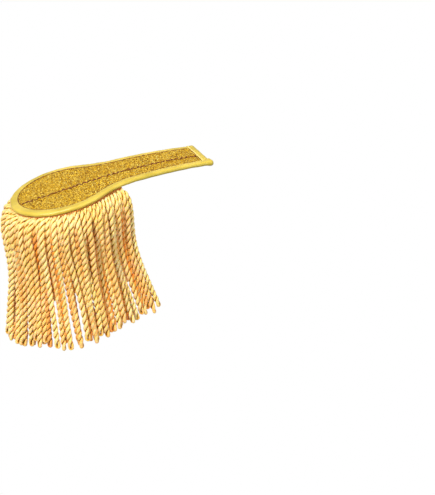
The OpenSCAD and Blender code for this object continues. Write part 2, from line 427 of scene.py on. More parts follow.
def cord_material():
    """Silky thread slanting in each ply: random pale gold to deep orange, plus painted shade on the inner row
    and between plies, and painted light at the top.
    """
    threads_per_turn = 14.0
    threads_per_mm = 2.6
    thread_relief = 0.5
    fuzz_relief = 0.8
    between_share = 0.22
    m = Nodes("bullion cord")
    turn, along = m.strand()
    lay = m.math("ADD", m.math("MULTIPLY", turn, threads_per_turn), m.math("MULTIPLY", along, threads_per_mm))
    threads = m.math("SINE", m.math("MULTIPLY", lay, 2 * math.pi))
    fuzz = m.noise(scale=900.0, detail=3.0, stretch=(1, 1, 0.35))
    relief = m.math("ADD", m.math("MULTIPLY", threads, thread_relief), m.math("MULTIPLY", fuzz, fuzz_relief))
    m.bump(relief, strength=0.45, distance=0.00016)
    base = m.ramp(m.noise(scale=60.0, detail=2.0), (0.35, srgb(244, 211, 128)), (0.65, srgb(253, 228, 162)))
    # deep orange: random tone on the outer cords, painted shade on the inner row, and less of it at the top
    # as painted light
    tone_and_shade = m.mix(m.attribute("tone_and_shade"), base, srgb(232, 138, 30))
    # painted shade in the groove between the two plies, darkening the side of each ply that faces the other
    groove_shade = m.ramp(m.attribute("groove_shade"), (0.0, (1, 1, 1, 1)), (0.12, (0.97, 0.90, 0.62, 1)),
                    (0.32, (0.80, 0.60, 0.15, 1)), (0.6, (0.44, 0.27, 0.02, 1)))
    colour = m.mix(1.0, tone_and_shade, groove_shade, "MULTIPLY")
    between = m.math("ADD", m.math("MULTIPLY", threads, -0.5), 0.5)
    m.colour(m.mix(m.math("MULTIPLY", between, between_share), colour, srgb(214, 150, 70)))
    m.set(Roughness=0.45, Sheen_Weight=0.08, Sheen_Roughness=0.4, Sheen_Tint=srgb(255, 236, 190),
          Specular_IOR_Level=0.35, Subsurface_Weight=0.35, Subsurface_Scale=0.002,
          Subsurface_Radius=(1.0, 0.5, 0.1))
    return m.mat


def heading_material():
    """Woven tape, darker orange partly as its own colour and partly as painted shade under the binding, and
    darker between its ribs as painted shade.
    """
    m = Nodes("woven heading")
    fuzz = m.noise(scale=700.0, detail=3.0)
    colour = m.ramp(fuzz, (0.3, srgb(196, 118, 28)), (0.7, srgb(226, 152, 60)))
    # painted shade between the woven ribs
    m.colour(m.mix(m.attribute("groove_shade"), colour, srgb(140, 70, 8)))
    m.bump(fuzz, strength=0.5, distance=0.0002)
    m.set(Roughness=0.6)
    return m.mat


def satin_material():
    """Satin with the long floats of its weave across the binding, on its bias."""
    floats_per_mm = 3.2
    float_relief = 0.25
    m = Nodes("satin")
    across, along = m.strand()
    slant = m.math("ADD", m.math("MULTIPLY", across, floats_per_mm), m.math("MULTIPLY", along, floats_per_mm))
    floats = m.math("SINE", m.math("MULTIPLY", slant, 2 * math.pi))
    relief = m.math("ADD", m.math("MULTIPLY", floats, float_relief), m.noise(scale=260.0, detail=4.0))
    m.bump(relief, strength=0.25, distance=0.00018)
    colour = m.ramp(m.noise(scale=45.0, detail=3.0), (0.35, srgb(188, 162, 46)), (0.65, srgb(218, 190, 76)))
    colour = m.mix(m.attribute("shade"), colour, srgb(166, 146, 38))
    # painted highlight along the crest of the end binding's fold
    m.colour(m.mix(m.attribute("crest_highlight"), colour, srgb(252, 228, 140)))
    m.set(Roughness=0.32, Sheen_Weight=0.2, Sheen_Roughness=0.35, Sheen_Tint=srgb(255, 246, 190),
          Specular_IOR_Level=0.5)
    return m.mat


def metallic_cloth_material():
    """Cloth of flat metallic threads: small glints and dark specks in old gold."""
    glint_relief = 0.6
    m = Nodes("metallic cloth")
    cells = m.add("ShaderNodeTexVoronoi", Scale=2200.0)
    m.link(m.coords((1.0, 0.6, 1.0)), cells.inputs["Vector"])
    grain = m.add("ShaderNodeSeparateColor")
    m.link(cells.outputs["Color"], grain.inputs[0])
    colour = m.ramp(grain.outputs[0], (0.0, srgb(52, 24, 0)), (0.25, srgb(124, 76, 0)),
                 (0.5, srgb(222, 166, 10)), (0.72, srgb(255, 206, 26)), (1.0, srgb(255, 240, 130)))
    clouds = m.ramp(m.noise(scale=35.0, detail=3.0), (0.35, grey(0.0)), (0.65, grey(0.25)))
    colour = m.mix(clouds, colour, srgb(182, 130, 8))
    specks = m.ramp(m.noise(scale=1100.0, detail=1.0), (0.42, grey(0.62)), (0.51, grey(0.0)))
    m.colour(m.mix(specks, colour, srgb(118, 70, 0)))
    glints = m.math("MULTIPLY", grain.outputs[1], glint_relief)
    m.bump(m.math("ADD", glints, m.noise(scale=1900.0, detail=2.0)), strength=0.7, distance=0.0003)
    m.set(Metallic=0.2, Roughness=0.5, Specular_IOR_Level=0.12)
    return m.mat


def canvas_material():
    """Plain weave of the stiff board, paler on its threads."""
    pale_share = 0.35
    m = Nodes("stiffened cloth")
    coords = m.coords()
    waves = []
    for direction in ("X", "Y"):
        wave = m.add("ShaderNodeTexWave", Scale=330.0, Distortion=0.6)
        wave.bands_direction = direction
        m.link(coords, wave.inputs["Vector"])
        waves.append(wave.outputs["Fac"])
    weave = m.math("MULTIPLY", *waves)
    colour = m.ramp(m.noise(scale=120.0, detail=4.0), (0.35, srgb(190, 158, 92)), (0.65, srgb(214, 182, 112)))
    m.colour(m.mix(m.math("MULTIPLY", weave, pale_share), colour, srgb(232, 204, 140)))
    m.bump(weave, strength=0.6, distance=0.0002)
    m.set(Roughness=0.8)
    return m.mat


def thread_material(name, dark, light):
    m = Nodes(name)
    fuzz = m.noise(scale=2200.0, detail=2.0)
    m.colour(m.ramp(fuzz, (0.35, dark), (0.65, light)))
    m.bump(fuzz, strength=0.5, distance=0.0001)
    m.set(Roughness=0.5)
    return m.mat


def metal_material():
    """Polished brass with fine lines across the pin."""
    m = Nodes("pin metal")
    lines = m.noise(scale=240.0, detail=5.0, stretch=(1, 6, 1))
    m.colour(m.ramp(lines, (0.3, srgb(190, 160, 96)), (0.7, srgb(226, 200, 140))))
    m.bump(lines, strength=0.15, distance=0.0001)
    m.set(Metallic=1.0, Roughness=0.28)
    return m.mat


MAT_CORD = cord_material()
MAT_HEADING = heading_material()
MAT_SATIN = satin_material()
MAT_CLOTH = metallic_cloth_material()
MAT_CANVAS = canvas_material()
MAT_METAL = metal_material()
MAT_STITCH = thread_material("binding thread", srgb(200, 170, 62), srgb(236, 212, 110))
# dark thread, also standing for painted shadow along the lap's edge and the bindings' inner edge
MAT_THREAD_AND_SHADOW = thread_material("dark thread and painted shadow", srgb(80, 32, 0), srgb(122, 60, 2))


def dress(node, material):
    """Gives its material to a CAD node that keeps its shape."""
    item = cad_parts[node]
    if not item.data.materials:
        item.data.materials.append(material)
    for slot in item.material_slots:
        slot.material = material


def piece(item, material, slot, *nodes):
    """Attaches a piece to the one body, with its material, and hides the CAD nodes that it stands for."""
    item.data.materials.append(material)
    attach(item, "root")
    if nodes:
        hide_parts(*nodes)


dress("board", MAT_CANVAS)
dress("bar_pin", MAT_METAL)

# Fringe: the line under the edge along which the cords hang, from the rear end round to the front
hang_inset = heading_inset + heading_w / 2
hang_flare_r = flare_r + hang_inset
hang_crescent_r = crescent_r - hang_inset
hang_flare_l = (flare_from_a - flare_to_a) * hang_flare_r - fringe_start
hang_crescent_l = (math.pi - flare_angle) * hang_crescent_r
hang_side_l = hang_flare_l + hang_crescent_l
cords = SECTIONS * cords_per_section
cord_pitch = 2 * hang_side_l / cords

# Distance of the inner row of cords behind the outer one, and share by which it is shorter
INNER_BACK = 2.2
INNER_SHORT = 0.02
# Distance by which the cords are drawn up over the heading
HEADING_HIDE = 0.9
# Share of its length over which a cord comes free of the heading, and points above and below that
FREE_SHARE = 0.12
FREE_POINTS = 25
HANGING_POINTS = 75
# Clumps of cords in a section, and random part of their sideways sway, sway outwards and length
CLUMPS = 3
CLUMP_SPREAD = (1.8, 1.0, 0.014)
# Random part of each cord: its place in the inner row, sway at the lower end, wave down the cord,
# kink below the heading, belly, and throw at the lower end
ROW_SPREAD = 0.4
SWAY_SPREAD = 1.5
WAVE_SPREAD = 1.0
KINK_SPREAD = 0.7
BELLY_SPREAD = 1.0
THROW_SPREAD = 0.8
# How the sway grows down a cord, rates and starts of its wave, and place and reach of its kink
SWAY_DOWN = 1.4
WAVE_RATES = (3, 7)
WAVE_STARTS = (0, 3)
KINK_AT = 0.13
KINK_REACH = 0.07
# Cords at each end of the fringe that sway less, and the least share that they keep
CALM_CORDS = 5
CALM_LEAST = 0.3
# Share of its full length that a cord has, the random part of it and how far that may go
LENGTH_SHARE = 0.985
LENGTH_SPREAD = 0.018
LENGTH_CHANGE = (-0.07, 0.02)

# Ply: points of its section, half depth and width, distance from the cord's middle, share of the
# half depth that is left towards the other ply, and random part of its girth
PLY_SIDES = 12
PLY_DEEP = 1.28
PLY_WIDE = 1.46
PLY_OFF = 1.14
PLY_FLAT = 0.82
PLY_SPREAD = 0.02
# Length of one turn of the twist, the random part of it, and rings along it
TWIST_L = 11.9
TWIST_SPREAD = 0.05
RINGS_PER_TURN = 14
# Length over which the twist eases off at the lower end, and the share that is left there
TWIST_EASE_L = 6.0
TWIST_END = 0.15
# Length over which a cord grows to its full girth below the heading
GIRTH_L = 8.0
# Points round the turned end with those where it begins, and its depth as a share of a half circle's
LOOP_POINTS = 8
LOOP_DEEP = 0.95
# Cosine round the ply below which its painted groove shade starts, on the side facing the other ply, and how
# that shade deepens
GROOVE_SHADE_FROM = 0.35
GROOVE_SHADE_POWER = 1.2
# Share of deep orange: of the inner cords, as painted shade of the gaps behind the outer row, its change from
# cord to cord, and the outer cords' most, as random tone
INNER_SHADE = 0.8
INNER_SHADE_SWING = 0.18
INNER_SHADE_BEAT = 2.4
OUTER_TONE = 0.34
# Share of it that shows at the heading, leaving the cords' tops paler as painted light from above, and share
# of the length over which it grows by its whole
TONE_AND_SHADE_TOP = 0.1
TONE_AND_SHADE_FULL = 0.25

# Random seed of the first section of the fringe
FRINGE_SEED = 40


def hang_row(along, inset):
    """Place and outward direction at a distance along the fringe, at an inset from the edge."""
    if along > hang_side_l:
        p, out = hang_row(2 * hang_side_l - along, inset)
        return np.array([p[0], -p[1]]), np.array([out[0], -out[1]])
    if along < hang_flare_l:
        a = flare_to_a + (hang_flare_l - along) / hang_flare_r
        out = -np.array([math.cos(a), math.sin(a)])
        return flare_c - out * (flare_r + inset), out
    a = flare_angle + (along - hang_flare_l) / hang_crescent_r
    out = np.array([math.cos(a), math.sin(a)])
    return crescent_c + out * (crescent_r - inset), out


def smooth_table(table, x):
    """Smooth curve through a table's points, at x."""
    xs, ys = table.T
    m = np.gradient(ys, xs)
    i = np.clip(np.searchsorted(xs, x, side="right") - 1, 0, len(xs) - 2)
    h = xs[i + 1] - xs[i]
    t = (x - xs[i]) / h
    return ((2 * t ** 3 - 3 * t ** 2 + 1) * ys[i] + (t ** 3 - 2 * t ** 2 + t) * h * m[i]
            + (3 * t ** 2 - 2 * t ** 3) * ys[i + 1] + (t ** 3 - t ** 2) * h * m[i + 1])


def cord_line(i, draw, clump, inner):
    """Points down the middle of cord i, which may lie between two others in the inner row."""
    along = (i + 0.5) * cord_pitch
    p, edge_out = hang_row(along, hang_inset + (INNER_BACK if inner else 0.0))
    share = abs(along / hang_side_l - 1)
    turn = math.radians(fringe_turn_angle) * max(0.0, 1 - (1 - share) / TURN_SHARE)
    a = -turn if p[1] > 0 else turn
    out = np.array([edge_out[0] * math.cos(a) - edge_out[1] * math.sin(a),
                    edge_out[0] * math.sin(a) + edge_out[1] * math.cos(a)])
    lean = fringe_lean * share ** LEAN_ALONG
    splay = fringe_splay * (1 - share)
    stagger = draw.normal(0, ROW_SPREAD) if inner else (1 if round(i) % 2 == 0 else -1) * fringe_stagger
    throw = hang_inset + fringe_swell + stagger
    fall = math.sqrt(fringe_l ** 2 - lean ** 2 - splay ** 2)
    top = float(under_z(p[0])) + heading_top_n - heading_t + bite - cord_d / 2 * TOP_GIRTH + HEADING_HIDE
    down = np.concatenate([np.linspace(0, FREE_SHARE, FREE_POINTS + 1)[:-1],
                        np.linspace(FREE_SHARE, 1.0, HANGING_POINTS)])
    free = np.clip(down / FREE_SHARE, 0, 1) ** 2
    calm = float(np.clip(min(i, cords - 1 - i) / CALM_CORDS, CALM_LEAST, 1))
    sway = calm * (clump[0] + draw.normal(0, SWAY_SPREAD)) * down ** SWAY_DOWN
    wave = draw.normal(0, WAVE_SPREAD) * np.sin(down * draw.uniform(*WAVE_RATES) + draw.uniform(*WAVE_STARTS))
    sway += wave * free
    sway += draw.normal(0, KINK_SPREAD) * bell(down, KINK_AT, KINK_REACH)
    belly = draw.normal(0, BELLY_SPREAD) * np.sin(down * math.pi) * free
    belly += (clump[1] + draw.normal(0, THROW_SPREAD)) * down ** 2
    length = LENGTH_SHARE + float(np.clip(clump[2] + draw.normal(0, LENGTH_SPREAD), *LENGTH_CHANGE))
    if inner:
        length -= INNER_SHORT
    away = throw * smooth_table(CORD_SHAPE, down) + belly + splay * down ** SPLAY_DOWN
    x = p[0] + out[0] * away + lean * down ** LEAN_DOWN - edge_out[1] * sway
    y = p[1] + out[1] * away + edge_out[0] * sway
    return np.stack([x, y, top - fall * down * length], -1)


def resample(path, step):
    """The path in even steps, and the length along it at each point."""
    s = path_lengths(path)
    even = np.linspace(0, s[-1], int(round(s[-1] / step)) + 1)
    return np.stack([np.interp(even, s, path[:, k]) for k in range(3)], -1), even


def frames_along(path, across):
    """Tangents and two square directions that don't twist, right-handed in the order u, v, tangent."""
    t = tangents(path)
    v = unit(np.cross(t, across))
    return t, np.cross(v, t), v


def twisted_cord(i, draw, clump, inner):
    """Vertices, quads and vertex values of a cord: one ply that goes down, turns and comes up again."""
    line = cord_line(i, draw, clump, inner)
    twist_l = TWIST_L * (1 + draw.normal(0, TWIST_SPREAD))
    fat = 1 + draw.normal(0, PLY_SPREAD)
    path, s = resample(line, twist_l / RINGS_PER_TURN)
    _, out = hang_row((i + 0.5) * cord_pitch, hang_inset)
    t, u, v = frames_along(path, np.array([-out[1], out[0], 0.0]))

    # angle of the twist at each point
    ease = np.clip((s[-1] - s) / TWIST_EASE_L, 0, 1)
    rate = 2 * math.pi / twist_l * (TWIST_END + (1 - TWIST_END) * (3 * ease ** 2 - 2 * ease ** 3))
    angle = np.concatenate([[0], np.cumsum((rate[1:] + rate[:-1]) / 2 * np.diff(s))])
    angle += draw.uniform(0, 2 * math.pi)
    girth = TOP_GIRTH + (1 - TOP_GIRTH) * np.clip(s / GIRTH_L, 0, 1)
    away = np.cos(angle)[:, None] * u + np.sin(angle)[:, None] * v

    # middle of the ply, and the direction from the cord's middle to it
    off = (PLY_OFF * girth)[:, None] * away
    round_end = np.linspace(0, math.pi, LOOP_POINTS)[1:-1, None]
    loop_away = np.cos(round_end) * away[-1] + np.sin(round_end) * t[-1]
    loop = path[-1] + PLY_OFF * (np.cos(round_end) * away[-1] + LOOP_DEEP * np.sin(round_end) * t[-1])
    ply = np.concatenate([path + off, loop, (path - off)[::-1]])
    radial = np.concatenate([away, loop_away, -away[::-1]])
    ply_t = tangents(ply)
    wide_dir = unit(np.cross(ply_t, radial))
    deep_dir = np.cross(wide_dir, ply_t)

    # each ply is pressed flat against the other: wide across, less deep outwards, flatter inside
    a = np.arange(PLY_SIDES) * 2 * math.pi / PLY_SIDES
    deep = np.where(np.cos(a) > 0, PLY_DEEP, PLY_DEEP * PLY_FLAT) * np.cos(a)
    wide = PLY_WIDE * np.sin(a)
    size_here = (fat * np.concatenate([girth, np.ones(len(loop)), girth[::-1]]))[:, None, None]
    section = deep[None, :, None] * deep_dir[:, None] + wide[None, :, None] * wide_dir[:, None]
    verts, quads = tube_mesh(ply[:, None] + size_here * section)

    # painted shade on the side of the ply that faces the other ply
    groove_shade = np.clip((GROOVE_SHADE_FROM - np.cos(a)) / (1 + GROOVE_SHADE_FROM), 0, 1) ** GROOVE_SHADE_POWER
    down = np.concatenate([s, np.full(len(loop), s[-1]), s[::-1]]) / s[-1]
    # inner row deep orange as painted shade, outer cords a random tone
    if inner:
        most = INNER_SHADE + INNER_SHADE_SWING * math.sin(INNER_SHADE_BEAT * i)
    else:
        most = draw.uniform(0.0, OUTER_TONE)
    values = {"uv": strand_uv(a / (2 * math.pi), path_lengths(ply)),
              "groove_shade": np.tile(groove_shade, len(ply)),
              "tone_and_shade": np.repeat(most * np.clip(TONE_AND_SHADE_TOP + down / TONE_AND_SHADE_FULL, 0, 1), PLY_SIDES)}
    return verts, quads, values


def build_fringe():
    """Six lengths of fringe, each with its outer row of cords and one between each two of them."""
    for section in range(SECTIONS):
        draw = np.random.default_rng(FRINGE_SEED + section)
        first = section * cords_per_section
        clumps = draw.normal(0, CLUMP_SPREAD, (CLUMPS, 3))
        parts = []
        for inner in (False, True):
            for j in range(cords_per_section):
                if inner and first + j + 1 == cords:
                    continue
                clump = clumps[j * CLUMPS // cords_per_section]
                parts.append(twisted_cord(first + j + (0.5 if inner else 0), draw, clump, inner))
        verts, quads, values = join(parts)
        uv = values.pop("uv")
        item = new_mesh("cords_%d" % (section + 1), verts, quads, uv=uv, attributes=values)
        piece(item, MAT_CORD, "bullion_cord", "fringe_%d" % (section + 1))


# Heading: spacing of its sections and of its woven ribs, and depth of the ribs on its face and below
HEADING_STEP = 0.25
RIB_PITCH = 1.3
RIB_DEPTH = 0.28
RIB_DEPTH_BELOW = 0.15


def build_heading():
    """Ribbed tape under the edge that holds the cords."""
    along = np.linspace(gap, 2 * hang_side_l - gap, int(2 * hang_side_l / HEADING_STEP))
    rows = [hang_row(x, 0.0) for x in along]
    edge = np.array([row[0] for row in rows])
    out = np.array([row[1] for row in rows])
    rib = 0.5 + 0.5 * np.cos(along * 2 * math.pi / RIB_PITCH)
    # inset and height of each point of its section
    face = [(0.0, -heading_t), (0.0, -heading_t / 2), (0.0, 0.0), (heading_w / 2, 0.0), (heading_w, 0.0),
            (heading_w, -heading_t), (heading_w / 2, -heading_t)]
    rings = []
    for inset, n in face:
        p = edge - out * (heading_inset + inset - RIB_DEPTH * (rib - 0.5) * (inset == 0))[:, None]
        rings.append(on_board(*p.T, heading_top_n + n - RIB_DEPTH_BELOW * (rib - 0.5) * (n < 0)))
    # painted shade between the ribs, by the groove_shade value
    item = new_mesh("fringe_heading", *closed_loft(np.stack(rings, 1)),
                  attributes={"groove_shade": np.repeat(1 - rib, len(face))})
    piece(item, MAT_HEADING, "bullion_cord")


build_fringe()
build_heading()

# Binding: points of its section below, round the roll, above, down its lip and round its channel
LOW_N = 5
ROLL_N = 15
TOP_N = 14
LIP_N = 3
CHANNEL_N = 5
SKIN_N = LOW_N + ROLL_N + TOP_N
# Share of the binding's width that the roll takes
ROLL_SHARE = 0.35
# Rounding of the inner edges, and how much lower the top is there
LOW_ROUND = 0.3
TOP_ROUND = 0.35
TOP_FALL = 0.12
# Rounding of the lip's upper corner, outwards and down, and bevels at the channel and the low corner
LIP_CORNER = (0.08, 0.28)
LIP_BEVEL = 0.05
LOW_CORNER = 0.1
# Angle of the roll below which the fringe or the shoulder throws light back, and what shade is left
BOUNCE_BELOW = -60
BOUNCE_SHARE = 0.6
# Share of the shade that lies out of sight, below and in the channel
HIDDEN_SHADE = 0.5
# Shade at the fringe, at the strap and at the end: strength, and angles of the roll where it starts
# and where it is full
FRINGE_SHADE = (0.45, 45, -25)
STRAP_SHADE = (0.95, 75, 5)
END_SHADE = (0.7, 85, 20)

# Side binding: spacing of its sections
BINDING_STEP = 0.9
# Depth of its slow waves, of its ripples and of the puckers where the edge is hollow, and their reach
SLOW_DEPTH = 0.10
RIPPLE_DEPTH = 0.025
PUCKER_DEPTH = 0.06
PUCKER_REACH = 18.0
# Random seed and slowest and fastest waves of both, in radians a millimetre, and shift round the section
SLOW_WAVES = (5, 0.15, 0.6)
SLOW_SHIFT = 3.0
RIPPLES = (6, 1.0, 2.6)
RIPPLE_SHIFT = 1.2
# Knob at its front end: growth, distance from the end, reach, and middle as a share of the width
KNOB_GROWTH = 0.34
KNOB_FROM_END = 3.0
KNOB_REACH = 2.8
KNOB_MIDDLE = 0.45
# Length over which the knob rounds off, depth of its middle, and least share of the section left
KNOB_ROUND_L = 2.2
KNOB_ROUND_MIDDLE = 2.6
KNOB_ROUND_LEAST = 0.05
# Place along the flare, as a share of it, and length over which the shade of the strap takes over
STRAP_SHADE_FROM = 0.6
STRAP_SHADE_L = 15.0

# End binding: stations along it, how much lower its top is, and how far it runs past the strap's
# rear side and into the side binding in front
END_STATIONS = 60
END_LOWER = 0.15
END_PAST_REAR = 0.2
END_INTO_FRONT = 0.3
# Depth of its bumps, with their random seed, rates and shift round the section
END_BUMP_DEPTH = 0.07
END_BUMPS = (11, 0.3, 1.4)
END_SHIFT = 2.0
# Fold along its inner edge: height, and middle and reach of its crest and of its hollow
FOLD_HEIGHT = 0.35
FOLD_CREST = (0.9, 0.5)
FOLD_HOLLOW = (2.2, 0.45)
# Painted highlight along the crest of the fold: strength, middle and reach
HIGHLIGHT_SHARE = 0.7
HIGHLIGHT_LINE = (0.8, 0.5)
# Height over the channel from which the folded top counts as top
FOLD_ABOVE = 0.6


def bind_section(width, top_n):
    """Closed ring of (outward, height) points, outer skin then lip and channel."""
    middle = (top_n + bind_low_n) / 2
    half = (top_n - bind_low_n) / 2
    deep = width * ROLL_SHARE
    a = np.radians(np.linspace(-90, 90, ROLL_N))
    roll = np.stack([-deep + deep * np.cos(a), middle + half * np.sin(a)], -1)
    low = np.stack([np.linspace(-width + LOW_ROUND, -deep, LOW_N + 1)[:-1], np.full(LOW_N, bind_low_n)], -1)
    top = np.stack([np.linspace(-deep, -width + TOP_ROUND, TOP_N + 1)[1:],
                    top_n - np.linspace(0, TOP_FALL, TOP_N + 1)[1:]], -1)
    lip = np.array([[-width + LIP_CORNER[0], top_n - LIP_CORNER[1]],
                    [-width, (top_n + slot_top_n) / 2],
                    [-width + LIP_BEVEL, slot_top_n]])
    channel = np.array([[-bind_roll, slot_top_n],
                        [-bind_roll, slot_low_n],
                        [-width + LIP_BEVEL, slot_low_n],
                        [-width, slot_low_n - LOW_ROUND],
                        [-width + LOW_CORNER, bind_low_n + LOW_CORNER]])
    return np.concatenate([low, roll, top, lip, channel])


def bind_shade(strength, start_deg, full_deg):
    """Darker shade round the section, which grows from one angle of the roll down to another."""
    a = np.linspace(-90, 90, ROLL_N)
    bounce = np.where(a < BOUNCE_BELOW, BOUNCE_SHARE, 1)
    roll = np.clip((start_deg - a) / (start_deg - full_deg), 0, 1) * bounce
    return strength * np.concatenate([np.full(LOW_N, HIDDEN_SHADE), roll, np.zeros(TOP_N + LIP_N),
                                      np.full(CHANNEL_N, HIDDEN_SHADE)])


def pushed_out(section, width, depth):
    """The section with its outer skin moved out from its middle by depths per station and point."""
    dirs = unit(section - np.array([-width / 2, bind_mid_n]))
    skin = np.arange(len(section)) < SKIN_N
    return section + dirs * (depth * skin)[..., None]


def build_edge_binding():
    """Padded satin along both sides and round the shoulder end, with a knob at the front corner."""
    start = -(side_l - (end_bind_w + gap) / math.cos(strap_taper))
    stop = side_l + bind_over / math.cos(strap_taper)
    d = np.linspace(start, stop, int((stop - start) / BINDING_STEP))
    from_tip = np.abs(d)
    p, out = edge_at(d)
    flat = bind_section(bind_w, bind_top_n)
    round_a = np.linspace(0, 2 * math.pi, len(flat), endpoint=False)

    # soft irregularity, and puckers where the edge is hollow
    hollow = bell(from_tip, crescent_l + flare_l / 2, PUCKER_REACH)[:, None]
    slow = SLOW_DEPTH * wobble(d[:, None] + SLOW_SHIFT * np.cos(round_a), *SLOW_WAVES)
    ripple = wobble(d[:, None] + RIPPLE_SHIFT * np.sin(round_a), *RIPPLES)
    section = pushed_out(flat, bind_w, slow + (RIPPLE_DEPTH + PUCKER_DEPTH * hollow) * ripple)

    # knob and rounded end
    growth = 1 + KNOB_GROWTH * bell(d, stop - KNOB_FROM_END, KNOB_REACH)
    middle = np.array([-bind_w * KNOB_MIDDLE, bind_mid_n])
    section = middle + (section - middle) * growth[:, None, None]
    to_end = np.clip((stop - d) / KNOB_ROUND_L, 0, 1)
    rounding = np.maximum(np.sqrt(1 - (1 - to_end) ** 2), KNOB_ROUND_LEAST)
    middle = np.array([-KNOB_ROUND_MIDDLE, bind_mid_n])
    section = middle + (section - middle) * rounding[:, None, None]
    away = section[..., 0]
    rings = on_board(p[:, :1] + away * out[:, :1], p[:, 1:] + away * out[:, 1:], section[..., 1])

    # darker below, least where the fringe throws light back
    strap = np.clip((from_tip - crescent_l - STRAP_SHADE_FROM * flare_l) / STRAP_SHADE_L, 0, 1)[:, None]
    shade = (1 - strap) * bind_shade(*FRINGE_SHADE) + strap * bind_shade(*STRAP_SHADE)
    item = new_mesh("edge_binding_cloth", *closed_loft(rings), uv=strand_uv(path_lengths(flat), d),
                  attributes={"shade": shade.reshape(-1)})
    piece(item, MAT_SATIN, "satin", "edge_binding")


def build_end_binding():
    """Flatter satin across the neck end, with a fold along its inner edge."""
    front_y = -(strap_w / 2 - bind_w - gap) - END_INTO_FRONT
    y = np.linspace(front_y, strap_w / 2 + END_PAST_REAR, END_STATIONS)
    flat = bind_section(end_bind_w, bind_top_n - END_LOWER)
    round_a = np.linspace(0, 2 * math.pi, len(flat), endpoint=False)
    bumps = wobble(y[:, None] + END_SHIFT * np.cos(round_a), *END_BUMPS)
    section = pushed_out(flat, end_bind_w, END_BUMP_DEPTH * bumps)
    from_lip = section[..., 0] + end_bind_w
    above = section[..., 1] > slot_top_n + FOLD_ABOVE
    section[..., 1] += FOLD_HEIGHT * (bell(from_lip, *FOLD_CREST) - bell(from_lip, *FOLD_HOLLOW)) * above
    # painted highlight along the fold's crest
    crest_highlight = HIGHLIGHT_SHARE * bell(from_lip, *HIGHLIGHT_LINE) * above
    rings = np.stack([neck_x + section[..., 0], np.broadcast_to(y[:, None], from_lip.shape),
                      neck_z + section[..., 1]], -1)
    shade = np.tile(bind_shade(*END_SHADE), len(y))
    item = new_mesh("end_binding_cloth", *closed_loft(rings), uv=strand_uv(path_lengths(flat), y),
                  attributes={"shade": shade, "crest_highlight": crest_highlight.reshape(-1)})
    piece(item, MAT_SATIN, "satin", "end_binding")


build_edge_binding()
build_end_binding()

# Facing: how far the cloth runs under the bindings, and distance from the tip where the two cloths part
FACING_UNDER = 0.3
FACING_PART = 4.2
# Spacing of the stations along the edge, rows between seam and edge, and how they crowd at the seam
FACING_STEP = 0.8
FACING_ROWS = 26
FACING_CROWD = 1.3
# How far the front cloth runs on under the lap, and width over which the rear cloth lies on it
LAP_UNDER = 0.8
LAP_OVER = 0.9
# Clearance of the lap over the front cloth
LAP_CLEAR = 0.03
# Depth of the cloth's waves, with their random seed and rates, and their way in plan
CLOTH_WAVE_DEPTH = 0.05
CLOTH_WAVES = (31, 0.1, 0.5)
CLOTH_WAVE_WAY = (0.9, 0.4)
# Height and reach of the raised lap, and fall at its very edge
LAP_RISE = 0.42
LAP_REACH = 1.0
LAP_EDGE_FALL = 0.25
# Depth of the scallops of the lap's edge and of its slow wander, each with random seed and rates
SCALLOP_DEPTH = 0.95
SCALLOPS = (21, 0.5, 1.6)
WANDER_DEPTH = 0.35
WANDER = (22, 0.15, 0.4)


def seam_y(x):
    """Line of the lap's edge, in small uneven scallops."""
    return -seam_offset + SCALLOP_DEPTH * wobble(x, *SCALLOPS) + WANDER_DEPTH * wobble(x, *WANDER)


def build_facing(name, node, d, rear):
    """One length of metallic cloth between the seam and the binding, along the edge's places d."""
    p, out = edge_at(d)
    p = p - out * (bind_w - FACING_UNDER)
    shape = (len(d), FACING_ROWS)
    w = np.linspace(0, 1, FACING_ROWS) ** FACING_CROWD
    seam = (seam_y(p[:, 0]) if rear else np.full(len(d), -seam_offset + LAP_UNDER))[:, None]
    x = np.broadcast_to(p[:, :1], shape)
    y = seam * (1 - w) + p[:, 1:] * w
    waves = wobble(x * CLOTH_WAVE_WAY[0] + y * CLOTH_WAVE_WAY[1], *CLOTH_WAVES)
    n = (rear_n if rear else front_n) + CLOTH_WAVE_DEPTH * waves
    low_n = np.full(shape, facing_n)
    if rear:
        n = n + LAP_RISE * bell(y, seam, LAP_REACH)
        n[:, 0] -= LAP_EDGE_FALL
        low_n = np.where(y < -seam_offset + LAP_OVER, front_n + LAP_CLEAR, facing_n)
    index = np.arange(x.size).reshape(shape)
    rim = np.concatenate([index[:, 0], index[-1, 1:], index[-2::-1, -1], index[0, -2:0:-1]])
    after = np.roll(rim, -1)
    wall = np.stack([rim, after, after + x.size, rim + x.size], -1)
    grid = grid_faces(*shape)
    verts = np.concatenate([on_board(x, y, n).reshape(-1, 3), on_board(x, y, low_n).reshape(-1, 3)])
    quads = np.concatenate([grid, grid[:, ::-1] + x.size, wall])
    item = new_mesh(name, verts, flip_if_inside_out(verts, quads))
    piece(item, MAT_CLOTH, "metallic_cloth", node)


facing_end = side_l - (end_bind_w - FACING_UNDER) / math.cos(strap_taper)
front_d = np.linspace(FACING_PART, facing_end, int((facing_end - FACING_PART) / FACING_STEP))
rear_d = np.linspace(-facing_end, FACING_PART, int((facing_end + FACING_PART) / FACING_STEP))
build_facing("facing_cloth_front", "facing_front", front_d, rear=False)
build_facing("facing_cloth_rear", "facing_rear", rear_d, rear=True)

# Seam thread, thick and dark to stand also for painted shadow under the lap's edge: distance of its ends from
# the tip and the end binding, spacing of its points
SEAM_FROM_TIP = 8.0
SEAM_FROM_END = 0.5
SEAM_STEP = 0.35
# Half the length of a stitch and how far it goes to either side, the thread's place before the lap's
# edge, and how far it strays, with random seed and rates
SEAM_HALF_STITCH = 2.1
SEAM_ZIGZAG = 0.45
SEAM_BEFORE = 0.2
SEAM_STRAY = 0.15
SEAM_STRAYS = (51, 2, 5)
